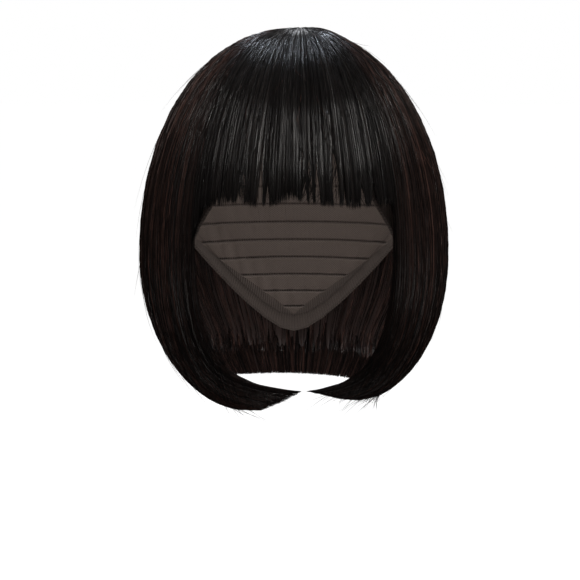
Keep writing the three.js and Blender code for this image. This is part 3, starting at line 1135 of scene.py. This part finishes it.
def soft_light(name, size, power, place, aim, colour=WHITE[:3]):
    """A flat light at place, turned to aim, that the camera doesn't see."""
    light = bpy.data.lights.new(name, "AREA")
    light.shape = "RECTANGLE"
    light.size, light.size_y = size
    light.energy = power * bpy.context.scene.wig_studio.brightness
    light.color = colour
    lamp = linked(name, light)
    lamp.visible_camera = False
    lamp.location = place
    lamp.rotation_euler = (aim - lamp.location).to_track_quat("-Z", "Y").to_euler()


class WIG_OT_stage(bpy.types.Operator):
    """A plain pale floor, soft studio lights and the camera"""

    bl_idname = "wig.stage"
    bl_label = "Studio"

    def execute(self, context):
        scene, studio = context.scene, context.scene.wig_studio
        bpy.ops.object.select_all(action="DESELECT")
        bpy.ops.mesh.primitive_circle_add(
            vertices=96, radius=30, fill_type="NGON", location=(0, 0, -studio.floor_drop)
        )
        floor = context.object
        floor.name = "studio_floor"
        nodes = Nodes(bpy.data.materials.new("studio_floor"))
        glow = nodes.add("ShaderNodeEmission", Color=WHITE, Strength=FLOOR_GLOW)
        pale = nodes.add("ShaderNodeBsdfDiffuse", Color=FLOOR_GREY)
        both = nodes.add("ShaderNodeAddShader", Shader=glow.outputs[0], Shader_001=pale.outputs[0])
        nodes.add("ShaderNodeOutputMaterial", Surface=both.outputs[0])
        floor.data.materials.append(bpy.data.materials["studio_floor"])
        floor.visible_glossy = floor.visible_diffuse = False

        world = bpy.data.worlds.new("studio")
        scene.world = world
        nodes = Nodes(world)
        seen = nodes.add("ShaderNodeLightPath").outputs["Is Camera Ray"]
        dim = nodes.add("ShaderNodeBackground", Color=WHITE, Strength=WORLD_GLOW)
        white = nodes.add("ShaderNodeBackground", Color=WHITE, Strength=1.0)
        shaders = {"Shader": dim.outputs[0], "Shader_001": white.outputs[0]}
        both = nodes.add("ShaderNodeMixShader", Fac=seen, **shaders)
        nodes.add("ShaderNodeOutputWorld", Surface=both.outputs[0])

        for name, (around, height, far, size, power, colour) in LIGHTS.items():
            up, turn = math.radians(height), math.radians(around)
            way = Vector((math.sin(turn) * math.cos(up), -math.cos(turn) * math.cos(up), math.sin(up)))
            soft_light(name, size, power, LIGHTS_AIM + way * far, LIGHTS_AIM, colour)
        # A small one in the face opening, turned to the inside of the cap
        soft_light("inside", (0.07, 0.04), 0.11, INSIDE_PLACE, INSIDE_AIM)

        camera = linked("camera", bpy.data.cameras.new("camera"))
        camera.data.lens = studio.lens
        camera.data.clip_end = 100
        up = studio.camera_height
        camera.location = CAMERA_AIM + Vector((0, -math.cos(up), math.sin(up))) * CAMERA_DISTANCE
        camera.rotation_euler = (CAMERA_AIM - camera.location).to_track_quat("-Z", "Y").to_euler()
        scene.camera = camera
        scene.view_settings.view_transform = "Standard"
        return {"FINISHED"}


SETTINGS = {"wig_hair": WIG_PG_hair, "wig_cap": WIG_PG_cap, "wig_studio": WIG_PG_studio}
OPERATORS = (
    WIG_OT_stage, WIG_OT_cap, WIG_OT_crown, WIG_OT_fringe, WIG_OT_front_locks,
    WIG_OT_side_hair, WIG_OT_back_hair, WIG_OT_under_hair, WIG_OT_flyaways,
)


class WIG_PT_panel(bpy.types.Panel):
    """The wig's settings, and a button for each part of it"""

    bl_label = "Bob wig"
    bl_idname = "WIG_PT_panel"
    bl_space_type = "VIEW_3D"
    bl_region_type = "UI"
    bl_category = "Wig"

    def draw(self, context):
        for name in SETTINGS:
            settings = getattr(context.scene, name)
            box = self.layout.box()
            for each in settings.__annotations__:
                box.prop(settings, each)
        for operator in OPERATORS:
            self.layout.operator(operator.bl_idname)


CLASSES = (*SETTINGS.values(), *OPERATORS, WIG_PT_panel)


def register():
    for made in CLASSES:
        bpy.utils.register_class(made)
    for name, group in SETTINGS.items():
        setattr(bpy.types.Scene, name, bpy.props.PointerProperty(type=group))


def unregister():
    for name in SETTINGS:
        delattr(bpy.types.Scene, name)
    for made in reversed(CLASSES):
        bpy.utils.unregister_class(made)


def main():
    register()
    for operator in OPERATORS:
        group, name = operator.bl_idname.split(".")
        getattr(getattr(bpy.ops, group), name)()


if __name__ == "__main__":
    main()
